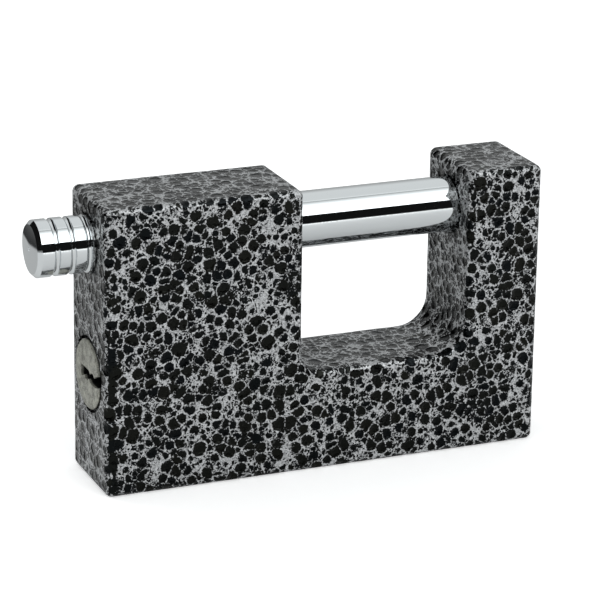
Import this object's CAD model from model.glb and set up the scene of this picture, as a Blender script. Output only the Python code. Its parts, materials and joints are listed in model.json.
# %% [markdown]
# # A rectangular shutter padlock
#
# The lock is a cast iron U with a hammertone finish, a chromed bolt that slides across its gap, and a
# key plug in the left end face. Its shapes could be modelled here, but they come exact from the CAD
# frame, which also knows how they move. So this file only gives them their looks: hammertone paint on an
# uneven cast skin, chrome, a sandy plug face, and a plain studio that the chrome can reflect.

# %% Load the frame
import json
import math

import bmesh
import bpy
from mathutils import Matrix, Vector, noise


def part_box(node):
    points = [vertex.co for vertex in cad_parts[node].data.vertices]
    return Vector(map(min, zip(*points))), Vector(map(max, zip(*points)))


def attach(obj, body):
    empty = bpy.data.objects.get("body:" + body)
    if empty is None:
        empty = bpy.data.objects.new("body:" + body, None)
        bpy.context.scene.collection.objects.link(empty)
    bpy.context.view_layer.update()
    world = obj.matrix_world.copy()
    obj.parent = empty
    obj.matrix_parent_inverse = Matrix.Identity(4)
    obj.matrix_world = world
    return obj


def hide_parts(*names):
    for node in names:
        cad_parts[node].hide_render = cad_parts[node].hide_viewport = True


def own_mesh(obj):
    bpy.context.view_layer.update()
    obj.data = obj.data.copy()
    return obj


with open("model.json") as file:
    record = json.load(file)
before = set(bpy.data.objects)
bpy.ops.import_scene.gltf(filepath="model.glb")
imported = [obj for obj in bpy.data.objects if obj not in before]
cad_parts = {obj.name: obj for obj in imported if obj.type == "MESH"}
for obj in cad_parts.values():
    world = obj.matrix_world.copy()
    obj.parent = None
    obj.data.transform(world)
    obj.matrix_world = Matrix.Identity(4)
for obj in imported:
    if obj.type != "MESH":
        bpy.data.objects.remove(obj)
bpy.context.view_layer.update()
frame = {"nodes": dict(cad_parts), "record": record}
MM = 0.001

# %% [markdown]
# ## The camera
#
# A product photographer stands well back with a long lens, so the lock's edges stay almost parallel. A
# camera could be placed by eye, but then no edge would quite fall where the photograph has it. This place
# and these angles were worked out from the straight edges of the case. The camera looks to the right and
# down onto the left end, where the grip and the key plug are.

# %% Camera
CAMERA_PLACE = Vector((-226.84, -537.25, 231.10)) * MM
CAMERA_TURN = math.radians(22.727)
CAMERA_TILT = math.radians(18.781)
CAMERA_ROLL = math.radians(0.792)
LENS_MM = 182.22
SENSOR_MM = 36.0
NEAREST_SEEN = 10 * MM


def aim(turn, tilt, roll):
    """The rotation of a camera that looks along +Y, turned to the right, tilted down and rolled."""
    ahead = Vector((math.sin(turn) * math.cos(tilt), math.cos(turn) * math.cos(tilt), -math.sin(tilt)))
    right = Vector((math.cos(turn), -math.sin(turn), 0))
    above = right.cross(ahead)
    right, above = (right * math.cos(roll) + above * math.sin(roll),
                    above * math.cos(roll) - right * math.sin(roll))
    return Matrix((right, above, -ahead)).transposed().to_4x4()


lens = bpy.data.cameras.new("camera")
lens.lens = LENS_MM
lens.sensor_width = SENSOR_MM
lens.clip_start = NEAREST_SEEN
camera = bpy.data.objects.new("camera", lens)
camera.matrix_world = Matrix.Translation(CAMERA_PLACE) @ aim(CAMERA_TURN, CAMERA_TILT, CAMERA_ROLL)
bpy.context.scene.collection.objects.link(camera)
bpy.context.scene.camera = camera
print("camera at", [round(v, 3) for v in camera.location], "lens", LENS_MM, "mm")

# %% [markdown]
# ## Measuring the case
#
# The case is a block with a gap cut into its top, and the gap's two lower corners are rounded. The next
# steps need to know how far a point is from its faces. Rays could be cast to find out, but the form is so
# plain that the distances can simply be written down. The gap is the hardest, because of its corners.
# The sizes come from the CAD boxes, and from the record where they are written there.

# %% The gap
BAR_HEIGHT = 21.3 * MM
BLOCK_CORNER = 4 * MM
LEG_CORNER = 6.4 * MM

case_low, case_high = (Vector(corner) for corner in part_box("body"))
span = next(mount for mount in frame["record"]["mounts"] if mount["name"] == "bolt_span")
half_span = span["dims"]["length_mm"] * MM / 2
gap_left = span["pos_m"][0] - half_span
gap_right = span["pos_m"][0] + half_span


def gap_distance(x, z):
    """How far (x, z) is from the gap, 0 on its wall."""
    left_x, left_z = gap_left + BLOCK_CORNER, BAR_HEIGHT + BLOCK_CORNER
    right_x, right_z = gap_right - LEG_CORNER, BAR_HEIGHT + LEG_CORNER
    if x < left_x and z < left_z:
        return math.hypot(x - left_x, z - left_z) - BLOCK_CORNER
    if x > right_x and z < right_z:
        return math.hypot(x - right_x, z - right_z) - LEG_CORNER
    return max(gap_left - x, x - gap_right, BAR_HEIGHT - z)


print("gap from", round(gap_left / MM, 1), "to", round(gap_right / MM, 1), "mm")

# %% [markdown]
# The depth under the skin is the least of the distances to the ends, the front and back, the bottom, the
# top and the gap. The distance to the front or back alone is wanted too, further down.

# %% Depth under the skin


def side_depth(p):
    """How far p is from the front or the back, whichever is nearer."""
    return min(p.y - case_low.y, case_high.y - p.y)


def depth_at(p):
    """How deep p lies under the nearest face of the case."""
    end_depth = min(p.x - case_low.x, case_high.x - p.x)
    return min(end_depth, side_depth(p), p.z - case_low.z, case_high.z - p.z, gap_distance(p.x, p.z))


bar_middle = Vector((0, 0, BAR_HEIGHT / 2))
print("the middle of the bar lies", round(depth_at(bar_middle) / MM, 1), "mm deep")

# %% [markdown]
# ## The cast skin
#
# A sand casting under thick enamel is never quite flat: its faces swell and dip by a tenth of a
# millimetre, and that is what makes its outline and its highlights uneven. The CAD case is exact, so a
# piece is made here that stands for it. It starts as a copy of the CAD mesh. Flat faces have no points
# that could move, so the copy is first sliced by many parallel planes, like a cheese by wires. A remesh
# would give points too, but it would blur the bores and the roundings, and slices leave them alone.

# %% Slice the case into a fine grid
SLICE = 1.0 * MM
SAME_PLACE = 0.001 * MM
FLAT = math.radians(0.5)

skin = bmesh.new()
skin.from_mesh(frame["nodes"]["body"].data)
bmesh.ops.remove_doubles(skin, verts=skin.verts[:], dist=SAME_PLACE)
bmesh.ops.dissolve_limit(skin, angle_limit=FLAT, verts=skin.verts[:], edges=skin.edges[:])
for axis in range(3):
    across = Vector([1.0 if axis == k else 0.0 for k in range(3)])
    slices = int((case_high[axis] - case_low[axis]) / SLICE)
    for k in range(1, slices):
        at = case_low.lerp(case_high, k / slices)
        bmesh.ops.bisect_plane(skin, geom=skin.verts[:] + skin.edges[:] + skin.faces[:],
                               dist=SAME_PLACE, plane_co=at, plane_no=across)
print("the sliced case has", len(skin.faces), "faces")

# %% [markdown]
# ## Where enamel gathers
#
# Wet enamel runs down and gathers along the upright edges of the front and back, most of all at the lower
# left one. The paint will be darker there, so it has to know the places. A mask could be painted by hand,
# but a few distances do the same: each edge has a reach and a strength.

# %% Enamel along the upright edges
FACE_DEPTH = 0.4 * MM
RUN_TOP = 32 * MM
RUN_FADE = 5 * MM
LEFT_REACH = 3.0 * MM
LEG_REACH = 2.0 * MM
THIN_REACH = 1.5 * MM
LEG_RUN = 0.65
THIN_RUN = 0.4


def ease(value, low, high):
    """0 below low, 1 above high, and smooth between them."""
    t = min(max((value - low) / (high - low), 0.0), 1.0)
    return t * t * (3 - 2 * t)


def edge_enamel(p):
    """How much enamel has gathered at p along an upright edge of the front or back."""
    if side_depth(p) > FACE_DEPTH:
        return 0.0
    left_run = THIN_RUN + (1 - THIN_RUN) * (1 - ease(p.z, RUN_TOP, RUN_TOP + RUN_FADE))
    edges = [(p.x - case_low.x, LEFT_REACH, left_run), (case_high.x - p.x, THIN_REACH, THIN_RUN)]
    if p.z > BAR_HEIGHT + LEG_CORNER:
        edges.append((gap_left - p.x, THIN_REACH, THIN_RUN))
        edges.append((p.x - gap_right, LEG_REACH, LEG_RUN))
    return max(run * (1 - ease(off, reach / 2, reach)) if off > 0 else 0.0 for off, reach, run in edges)


block_foot = Vector((case_low.x + THIN_REACH / 2, case_low.y, BAR_HEIGHT))
print("enamel at the block's lower left edge:", round(edge_enamel(block_foot), 2))

# %% [markdown]
# It also gathers in a ring round the holes that the bolt goes through: fully as far as MOUTH from a hole,
# and then less and less as far as RING. The bolt and the plug are round and lie along X, so their CAD
# boxes give the heights and the radii of their bores. A point deeper than SKIN is no longer on the
# outside, but on the wall of a bore, and gets none. Each point keeps the larger of its two values.

# %% Enamel round the bolt's holes
SKIN = 0.5 * MM
MOUTH = 0.9 * MM
RING = 2.7 * MM
RING_RUN = 0.75


def bore_of(node):
    """The height and the radius of the bore that holds a round node along X."""
    low, high = (Vector(corner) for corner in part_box(node))
    return (low.z + high.z) / 2, (high.z - low.z) / 2


def off_bore(p, bore):
    """How far p is from the wall of a bore."""
    height, radius = bore
    return math.hypot(p.y, p.z - height) - radius


bolt_bore = bore_of("shackle_bolt")
plug_bore = bore_of("key_plug")


def ring_enamel(p):
    """How much enamel has gathered at p round the bolt's holes."""
    if depth_at(p) >= SKIN:
        return 0.0
    return RING_RUN * (1 - ease(off_bore(p, bolt_bore), MOUTH, RING))


near_edge = [max(edge_enamel(vert.co), ring_enamel(vert.co)) for vert in skin.verts]
print(sum(run > 0 for run in near_edge), "of", len(near_edge), "points have gathered enamel")

# %% [markdown]
# ## Swells and ripples
#
# Now each point of the skin moves inwards by a soft noise. Two sizes are added: the broad swells of the
# casting, and the finer unevenness of the enamel. A bump in the material could fake both, but it would
# leave the outline straight, and it is the outline that tells a casting from a milled block. The bores
# stay exact, because the bolt slides and the plug turns in them, and so does the base.

# %% Make the skin uneven
SWELL = 0.09 * MM
SWELL_SIZE = 6 * MM
RIPPLE = 0.07 * MM
RIPPLE_SIZE = 1.7 * MM
BASE_FLAT = 1.0 * MM


def freedom(p):
    """1 where the skin may move, and 0 inside the case, on its base and at the mouths of the bores."""
    if depth_at(p) >= SKIN:
        return 0.0
    free = ease(p.z, 0, BASE_FLAT)
    for bore in (bolt_bore, plug_bore):
        free *= ease(off_bore(p, bore), MOUTH, 2 * MOUTH)
    return free


moves = []
skin.normal_update()
for vert in skin.verts:
    swell = 0.5 + 0.5 * noise.noise(vert.co / SWELL_SIZE)
    ripple = 0.5 + 0.5 * noise.noise(vert.co / RIPPLE_SIZE)
    moves.append(vert.normal * (-freedom(vert.co) * (SWELL * swell + RIPPLE * ripple)))
for vert, move in zip(skin.verts, moves):
    vert.co += move
print("deepest move", round(max(move.length for move in moves) / MM, 2), "mm")

# %% [markdown]
# The sliced faces become one smooth surface. Only edges with a real corner, such as the mouth of a bore,
# stay sharp. The new case then rides with the CAD body "case" and stands for the CAD node "body", and
# its points carry the enamel's values for the paint.

# %% The cast case as a piece
CORNER = math.radians(35)

for face in skin.faces:
    face.smooth = True
for edge in skin.edges:
    edge.smooth = edge.calc_face_angle(0) < CORNER
skin_mesh = bpy.data.meshes.new("cast_case")
skin.to_mesh(skin_mesh)
skin.free()
mark = skin_mesh.attributes.new("near_edge", "FLOAT", "POINT")
mark.data.foreach_set("value", near_edge)
cast_case = bpy.data.objects.new("cast_case", skin_mesh)
bpy.context.scene.collection.objects.link(cast_case)
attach(cast_case, "case")
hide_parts("body")
print("cast_case has", len(skin_mesh.polygons), "faces")

# %% [markdown]
# ## Helpers for shader nodes
#
# Every finish below is a small tree of nodes. Written out in full, each node takes a line to make it and
# a line for each of its inputs, and the idea gets lost. With these helpers a finish reads like a sum. They
# serve materials and the world alike. A helper's value may be a number, a colour or another node's
# output, and the helper sets it or links it. A Mix node keeps numbers and colours at different sockets,
# which the two small tables name.

# %% Node helpers
MIX_ENDS = {"FLOAT": slice(2, 4), "RGBA": slice(6, 8)}
MIX_RESULT = {"FLOAT": 0, "RGBA": 2}


class Nodes:
    """A node tree, with short calls that add a node and link its inputs."""

    def __init__(self, tree):
        self.tree = tree

    def put(self, socket, value):
        if isinstance(value, bpy.types.NodeSocket):
            self.tree.links.new(value, socket)
        else:
            socket.default_value = value

    def add(self, kind, *inputs, **named):
        """Add a node with its first inputs in order. A name with a capital letter is an input too."""
        node = self.tree.nodes.new(kind)
        for name, value in named.items():
            if name[0].isupper():
                self.put(node.inputs[name], value)
            else:
                setattr(node, name, value)
        for socket, value in zip(node.inputs, inputs):
            self.put(socket, value)
        return node

    def math(self, operation, *values):
        return self.add("ShaderNodeMath", *values, operation=operation).outputs[0]

    def ramp(self, value, low, high, kind="LINEAR"):
        """0 below low, 1 above high, and straight between them."""
        return self.add("ShaderNodeMapRange", value, low, high, interpolation_type=kind).outputs[0]

    def step(self, value, low, high):
        """0 below low, 1 above high, and smooth between them."""
        return self.ramp(value, low, high, kind="SMOOTHSTEP")

    def blend(self, factor, a, b, kind="FLOAT"):
        """A number that goes from a to b."""
        node = self.add("ShaderNodeMix", factor, data_type=kind)
        for socket, value in zip(node.inputs[MIX_ENDS[kind]], (a, b)):
            self.put(socket, value)
        return node.outputs[MIX_RESULT[kind]]

    def mix(self, factor, a, b):
        """A colour that goes from a to b."""
        return self.blend(factor, a, b, kind="RGBA")


print("node helpers:", ", ".join(name for name in vars(Nodes) if not name.startswith("_")))

# %% [markdown]
# A finish is a tree that belongs to a material. It also knows the place of each point on the piece in
# metres, so that a pattern's size can be given as the real one, and it stays put when the piece moves.

# %% Finish helpers


class Finish(Nodes):
    """A new material with its surface shader."""

    def __init__(self, name):
        self.material = bpy.data.materials.new(name)
        self.material.use_nodes = True
        super().__init__(self.material.node_tree)
        self.surface = self.tree.nodes["Principled BSDF"]
        self.place = self.add("ShaderNodeTexCoord").outputs["Object"]

    def noise(self, size, detail=2.0, output="Fac"):
        node = self.add("ShaderNodeTexNoise", Vector=self.place, Scale=1 / size, Detail=detail)
        return node.outputs[output]

    def bump(self, height, distance):
        self.set(Normal=self.add("ShaderNodeBump", Height=height, Distance=distance).outputs["Normal"])

    def set(self, **values):
        for name, value in values.items():
            self.put(self.surface.inputs[name.replace("_", " ")], value)


def grey(value, warm=0.0):
    """A linear grey, a little warmer or cooler."""
    return (value * (1 + warm), value, value * (1 - warm), 1.0)


print("finish helpers:", ", ".join(name for name in vars(Finish) if not name.startswith("_")))

# %% [markdown]
# ## Hammertone paint
#
# Hammer finish is a dark enamel with metal flake. As it dries, it draws itself into dark rounded pools,
# from half a millimetre to about three across, and the flake gathers in the pale net between them. Noise
# alone gives clouds, and cells alone give sharp corners. A pool here is both: it ends where it meets its
# neighbour, which leaves a thin vein, or where it has reached its own size, which makes it round. Each
# Voronoi cell has one pool, and the cell's random colour gives the pool its size and its tint. Reach,
# spread and vein are parts of the cell's size: the least reach of a pool from its middle, how much
# farther the largest one reaches, and the width of the vein.

# %% Pools of one size


def pools(s, place, size, reach, spread, vein):
    """How far a point is inside a pool, in parts of the pool's size, and the pool's random tint."""
    first, second = (s.add("ShaderNodeTexVoronoi", Vector=place, Scale=1 / size, feature=feature)
                     for feature in ("F1", "F2"))
    own_size, tint = s.add("ShaderNodeSeparateColor", first.outputs["Color"]).outputs[:2]
    limit = s.math("MULTIPLY_ADD", own_size, spread, reach)
    within = s.math("SUBTRACT", limit, first.outputs["Distance"])
    between = s.math("SUBTRACT", second.outputs["Distance"], first.outputs["Distance"])
    clear = s.math("MULTIPLY", s.math("SUBTRACT", between, vein), 0.5)
    return s.math("MINIMUM", within, clear), tint


BIG = {"size": 2.4 * MM, "reach": 0.42, "spread": 0.3, "vein": 0.04}
MIDDLE = {"size": 1.3 * MM, "reach": 0.38, "spread": 0.32, "vein": 0.04}
SMALL = {"size": 0.65 * MM, "reach": 0.3, "spread": 0.3, "vein": 0.08}
for kind in (BIG, MIDDLE, SMALL):
    across = 2 * (kind["reach"] + kind["spread"]) * kind["size"]
    print("cells of", round(kind["size"] / MM, 2), "mm, pools up to", round(across / MM, 1), "mm across")

# %% [markdown]
# A pool's outline isn't a clean arc: it wanders, and it is frayed. So the place that the cells are drawn
# at is pushed about first, by a broad noise and by a finer one.

# %% Wandering outlines
WANDER = 0.6 * MM
WANDER_SIZE = 1.1 * MM
FRAY = 0.35 * MM
FRAY_SIZE = 0.45 * MM


def wandering(s):
    """The place of each point, pushed about by noise."""
    place = s.place
    for reach, size in ((WANDER, WANDER_SIZE), (FRAY, FRAY_SIZE)):
        pushed = s.add("ShaderNodeVectorMath", s.noise(size, output="Color"), (reach,) * 3, place,
                       operation="MULTIPLY_ADD")
        place = pushed.outputs[0]
    return place


print("outlines wander over", round(WANDER / MM, 1), "mm and fray over", round(FRAY / MM, 2), "mm")

# %% [markdown]
# The space between the big pools holds smaller ones, and the space between those smaller ones still. In
# some places a pale rim keeps a small pool apart from its larger neighbour, and in others the two have
# run together into one scalloped patch. A slow noise, the rim, decides which. A fine noise eats small
# notches into every outline, and SOFT is how soft that outline is. Each pool is also a shallow dish,
# deepest in the middle, so that its mirror image is broken. It is level from DISH_EDGE inwards.

# %% Three sizes of pools
SOFT = 0.03
NOTCH = 0.3
NOTCH_SIZE = 0.4 * MM
RIM = 0.9
RIM_SIZE = 3 * MM
RIM_SHIFT = 0.07
DISH_EDGE = 0.35


def all_pools(s):
    """How dark a point is with pools, how deep it lies in its dish, and its big pool's tint."""
    place = wandering(s)
    notch = s.math("MULTIPLY_ADD", s.noise(NOTCH_SIZE), NOTCH, -NOTCH / 2)
    rim = s.math("MULTIPLY_ADD", s.noise(RIM_SIZE), RIM, RIM_SHIFT - RIM / 2)
    big, tint = pools(s, place, **BIG)
    middle = pools(s, place, **MIDDLE)[0]
    small = pools(s, place, **SMALL)[0]
    dark = s.step(s.math("ADD", big, notch), -SOFT, SOFT)
    dish = s.step(big, 0.0, DISH_EDGE)
    for inside, outer, kind in ((middle, big, MIDDLE), (small, middle, SMALL)):
        apart = s.step(s.math("ADD", outer, rim), 0.0, -SOFT)
        inner = s.step(s.math("ADD", inside, notch), -SOFT, SOFT)
        dark = s.math("MAXIMUM", dark, s.math("MULTIPLY", apart, inner))
        deep = s.math("MULTIPLY", s.step(inside, 0.0, DISH_EDGE), kind["size"] / BIG["size"])
        dish = s.math("MAXIMUM", dish, s.math("MULTIPLY", apart, deep))
    return dark, dish, tint


print("the smallest dishes are", round(SMALL["size"] / BIG["size"], 2), "times as deep as the big ones")

# %% [markdown]
# The enamel could be a black varnish, but on the real lock the same enamel is black on the front and grey
# on the top and the ends. A nearly black metal does that: seen straight on it is black, and at a shallow
# angle it mirrors the room. The flake between the pools is pale and duller, and its grains differ. Where
# enamel has gathered along an edge, a ragged dark patch covers pools and flake alike.

# %% Hammertone
DISH = 0.3 * MM
RAGGED = 2.4
RAGGED_SIZE = 1.1 * MM
RAGGED_SHIFT = -1.35
PATCH = (0.5, 0.6)
GRAIN_SIZE = 0.3 * MM
GRAIN = (0.3, 0.7)
FLAKE_DARK = grey(0.21, -0.02)
FLAKE_LIGHT = grey(0.57, -0.02)
FLAKE_METAL = 0.35
FLAKE_ROUGH = 0.4
ENAMEL_COOL = (0.007, 0.0085, 0.0095, 1)
ENAMEL_WARM = (0.0125, 0.013, 0.011, 1)
ENAMEL_METAL = 1.0
ENAMEL_ROUGH = 0.22


def hammertone():
    s = Finish("hammertone_paint")
    dark, dish, tint = all_pools(s)
    gathered = s.add("ShaderNodeAttribute", attribute_name="near_edge").outputs["Fac"]
    ragged = s.math("MULTIPLY_ADD", s.noise(RAGGED_SIZE, detail=4.0), RAGGED, RAGGED_SHIFT)
    dark = s.math("MAXIMUM", dark, s.step(s.math("ADD", gathered, ragged), *PATCH))
    flake = s.mix(s.step(s.noise(GRAIN_SIZE, detail=3.0), *GRAIN), FLAKE_DARK, FLAKE_LIGHT)
    s.set(Base_Color=s.mix(dark, flake, s.mix(tint, ENAMEL_COOL, ENAMEL_WARM)))
    s.set(Metallic=s.blend(dark, FLAKE_METAL, ENAMEL_METAL))
    s.set(Roughness=s.blend(dark, FLAKE_ROUGH, ENAMEL_ROUGH))
    s.bump(s.math("MULTIPLY", dish, -1.0), DISH)
    return s.material


paint = hammertone()
cast_case.data.materials.append(paint)
print(paint.name, "has", len(paint.node_tree.nodes), "nodes")

# %% [markdown]
# ## Chrome
#
# The bolt is hard chrome over a ground bar: almost a mirror. A perfect mirror looks like a drawing, so a
# slow noise makes it a little duller in places, where it was polished less.

# %% Chrome
CHROME_GREY = (0.655, 0.68, 0.69, 1)
POLISH_SIZE = 3 * MM
POLISH = (0.02, 0.07)


def chrome_plate():
    s = Finish("chrome")
    s.set(Base_Color=CHROME_GREY, Metallic=1.0)
    s.set(Roughness=s.blend(s.noise(POLISH_SIZE), *POLISH))
    return s.material


chrome = chrome_plate()
print("made", chrome.name)

# %% [markdown]
# ## The plug's face
#
# The plug is sintered from metal powder, so it is matt, grainy and a little warm: two sizes of noise mix
# a dark and a pale grain. Past its face it is black with graphite and old oil, as the inside of a used
# keyway is. One material does both, because it can tell from the place along X how deep a point lies.

# %% Sintered plug
POWDER_SIZE = 0.25 * MM
BLOTCH_SIZE = 1.5 * MM
SPECKLE = (0.38, 0.62)
SINTER_DARK = (0.19, 0.19, 0.165, 1)
SINTER_LIGHT = (0.5, 0.5, 0.44, 1)
OLD_OIL = (0.01, 0.01, 0.009, 1)
KEYWAY_LIT = 0.25 * MM
KEYWAY_DARK = 0.7 * MM
PITS = 0.03 * MM


def sintered():
    s = Finish("sintered_plug")
    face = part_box("key_plug")[0][0]
    along = s.add("ShaderNodeSeparateXYZ", s.place).outputs["X"]
    deep = s.step(along, face + KEYWAY_LIT, face + KEYWAY_DARK)
    powder = s.noise(POWDER_SIZE, detail=3.0)
    speckle = s.blend(0.5, powder, s.noise(BLOTCH_SIZE, detail=3.0))
    shown = s.mix(s.step(speckle, *SPECKLE), SINTER_DARK, SINTER_LIGHT)
    s.set(Base_Color=s.mix(deep, shown, OLD_OIL), Metallic=0.6, Roughness=0.5)
    s.bump(powder, PITS)
    return s.material


plug_metal = sintered()
print("made", plug_metal.name)

# %% [markdown]
# ## The inner metals
#
# Pins, springs and closing plugs are turned or wound from bright stock, and most of them are hidden in
# the block. They could stay plain grey, but whoever takes the model apart sees them too. So they are
# metals whose tone varies a little, in steel and in brass.

# %% Turned steel and brass
STOCK_SIZE = 0.8 * MM
BRASS_DARK = (0.6, 0.42, 0.16, 1)
BRASS_LIGHT = (0.78, 0.58, 0.26, 1)


def turned(name, low, high, roughness):
    s = Finish(name)
    s.set(Base_Color=s.mix(s.noise(STOCK_SIZE), low, high), Metallic=1.0, Roughness=roughness)
    return s.material


steel = turned("inner_steel", grey(0.42), grey(0.58), roughness=0.3)
brass = turned("pin_brass", BRASS_DARK, BRASS_LIGHT, roughness=0.28)
print("made", steel.name, "and", brass.name)

# %% [markdown]
# ## Dressing the CAD nodes
#
# The CAD nodes keep their shapes, and only their material slots change. The key pins are brass, and
# whatever has no finish of its own is steel.

# %% Dress the nodes
finish = {"body": paint, "shackle_bolt": chrome, "key_plug": plug_metal}
for name, part in frame["nodes"].items():
    material = finish.get(name, brass if name.startswith("key_pin") else steel)
    part.data.materials.clear()
    part.data.materials.append(material)
print("finishes set on", len(frame["nodes"]), "nodes")

# %% [markdown]
# ## The pin springs
#
# A pin spring shortens while its driver pin is pressed down. The CAD coil is rigid, so a copy of it
# stands for it here, and that copy flattens towards its foot by as much as the pin moves. Shape keys
# could do it too, but the squash follows the joint by itself. The larger spring under the locking pin
# only ever lengthens from rest, so it stays as it is.

# %% Springs that shorten
for joint in frame["record"]["behaviour"]["joints"]:
    if not joint["name"].startswith("driver_pin"):
        continue
    coil_node = joint["deforming_nodes"][0]["node"]
    coil = bpy.data.objects.new("coil_of_" + coil_node, frame["nodes"][coil_node].data.copy())
    bpy.context.scene.collection.objects.link(coil)
    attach(coil, "case")
    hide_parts(coil_node)
    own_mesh(coil)

# %% [markdown]
# ## The floor
#
# The floor is a sheet of white paper on a bench. The camera sees it white with the lock's soft shadow. A
# brighter lamp could whiten it, but that would bleach the lock too, so the paper itself tells the camera
# a lighter tone than it gives to the light. The chrome sees it as a real sweep is: bright in front, and
# darker behind the lock.

# %% Floor tones
PAPER = 0.8
PAPER_GLOW = 0.4
FRONT_IN_CHROME = 0.98
BACK_IN_CHROME = 0.66
BACK_BEGINS = (0.0, 0.1)

bpy.ops.mesh.primitive_plane_add(size=6)
floor = bpy.context.object
floor.name = "floor"
f = Finish("floor_paper")
ray = f.add("ShaderNodeLightPath").outputs
spot = f.add("ShaderNodeSeparateXYZ", f.place).outputs
sheet = f.mix(f.step(spot["Y"], *BACK_BEGINS), grey(FRONT_IN_CHROME), grey(BACK_IN_CHROME))
print("floor is", [round(side, 1) for side in floor.dimensions], "m")

# %% [markdown]
# Behind the lock at the left the sheet ends, along a slanted line, and the chrome sees the bench there.
# The near part of the bench is dark, which gives the grip's face its dark half. Farther off it catches
# some light.

# %% Bench beyond the sheet
SHEET_SLANT = 0.71
SHEET_END = 0.24
CUT = 0.004
BENCH_END = 0.37
BENCH_NEAR = 0.05
BENCH_FAR = 0.4

away = f.math("MULTIPLY_ADD", spot["X"], -SHEET_SLANT, spot["Y"])
bench = f.mix(f.step(away, SHEET_END, BENCH_END), grey(BENCH_NEAR), grey(BENCH_FAR))
sheet = f.mix(f.step(away, SHEET_END - CUT, SHEET_END + CUT), sheet, bench)
seen = f.mix(ray["Is Glossy Ray"], grey(PAPER), sheet)
f.set(Base_Color=f.mix(ray["Is Camera Ray"], seen, grey(1.0)), Roughness=0.9)
f.set(Emission_Color=grey(1.0), Specular_IOR_Level=0.0)
f.set(Emission_Strength=f.math("MULTIPLY", ray["Is Camera Ray"], PAPER_GLOW))
floor.data.materials.append(f.material)
print(f.material.name, "has", len(f.tree.nodes), "nodes")

# %% [markdown]
# ## The room that chrome shows
#
# Chrome shows what stands around it. In this studio a long soft box hangs high above the front, a pale
# wall is behind the lock, and the side where the camera stands is dark. Those three give the bolt its
# white, grey and black bands. Real cards and boxes could be hung round the lock, but they would also show
# in other views and light the paint. So the world gives them by direction, and only to glossy rays.

# %% World
world = bpy.data.worlds.new("studio")
bpy.context.scene.world = world
world.use_nodes = True
world.node_tree.nodes.clear()
room = Nodes(world.node_tree)
rightwards, backwards, upwards = room.add(
    "ShaderNodeSeparateXYZ", room.add("ShaderNodeTexCoord").outputs["Generated"]).outputs
CRISP = (0.0, 0.001)
print("made the world", world.name)

# %% [markdown]
# The soft box fills the directions above two slanted planes, which give it a crisp edge at the front and
# at the left. Towards the back it fades out, as a box with a cloth skirt does.

# %% Soft box
BOX_FRONT = math.tan(math.radians(31.6))
BOX_LEFT = math.tan(math.radians(50))
BOX_BACK = 0.05
BOX_FADE = (-0.05, 0.6)

over_front = room.ramp(room.math("MULTIPLY_ADD", backwards, BOX_FRONT, upwards), *CRISP)
over_left = room.ramp(room.math("MULTIPLY_ADD", rightwards, BOX_LEFT, upwards), *CRISP)
frontwards = room.math("MULTIPLY", backwards, -1.0)
over_back = room.ramp(room.math("MULTIPLY_ADD", upwards, BOX_BACK, frontwards), *BOX_FADE)
in_box = room.math("MULTIPLY", room.math("MULTIPLY", over_front, over_back), over_left)
print("the box's front edge is", round(math.degrees(math.atan(BOX_FRONT)), 1), "degrees up")

# %% [markdown]
# The wall covers what lies behind the lock, from a slanted corner at the left, and its foot is darker,
# because less light falls there. The rest of the room is nearly black.

# %% Wall and dark side
WALL_SLANT = 3.0
WALL_RISE = (0.25, 0.6)
WALL_FOOT = 0.5
WALL_LIGHT = 0.92
DARK_SIDE = 0.008

past_corner = room.ramp(room.math("MULTIPLY_ADD", rightwards, WALL_SLANT, backwards), *CRISP)
behind = room.math("MULTIPLY", past_corner, room.ramp(backwards, *CRISP))
wall = room.blend(room.ramp(upwards, *WALL_RISE), WALL_FOOT, WALL_LIGHT)
around = room.blend(behind, DARK_SIDE, wall)
print("the wall is", round(WALL_LIGHT / WALL_FOOT, 1), "times as light at the top as at its foot")

# %% [markdown]
# All other rays meet an even soft white, so the paint is lit from everywhere, and the camera sees plain
# white past the floor.

# %% Join the room
BOX_LIGHT = 3.0
SOFT_LIGHT = 0.63
SKY_TONE = (0.975, 1, 1.003, 1)

path = room.add("ShaderNodeLightPath").outputs
soft = room.blend(path["Is Camera Ray"], SOFT_LIGHT, 1.0)
strength = room.blend(path["Is Glossy Ray"], soft, room.blend(in_box, around, BOX_LIGHT))
sky = room.add("ShaderNodeBackground", SKY_TONE, strength)
room.add("ShaderNodeOutputWorld", sky.outputs[0])
print("the world has", len(room.tree.nodes), "nodes")

# %% [markdown]
# ## The lamps
#
# Even light alone makes a form look flat. Two large lamps model it a little: one from the front, a little
# to the right, and a weaker one from the back left, which reaches the faces that look to the left. Chrome
# doesn't show either of them, as the soft box and the wall already give it its bands.

# %% Lamps
LAMP_AIM = Vector((0, 0, 0.03))
LAMP_SIZE = 0.6


def soft_lamp(name, place, watts):
    """A square soft light that chrome doesn't show."""
    lamp = bpy.data.lights.new(name, "AREA")
    lamp.size = LAMP_SIZE
    lamp.energy = watts
    hung = bpy.data.objects.new(name, lamp)
    hung.location = place
    hung.rotation_euler = (LAMP_AIM - hung.location).to_track_quat("-Z", "Y").to_euler()
    hung.visible_glossy = False
    bpy.context.scene.collection.objects.link(hung)
    print(name, "gives", watts, "W")


soft_lamp("front_lamp", place=(0.15, -0.97, 0.24), watts=6.0)
soft_lamp("left_lamp", place=(-0.55, 0.8, 0.35), watts=3.2)

# %% [markdown]
# ## Finish
#
# The Standard view shows each colour about as it is written, and a filmic one would grey the white
# background. The two boxes, of the CAD and of the dressed model, are kept so that they can be compared.
# The last call checks that every piece rides on a body, and writes the table of pieces.

# %% Finish
bpy.context.scene.view_settings.view_transform = "Standard"
print("view transform:", bpy.context.scene.view_settings.view_transform)
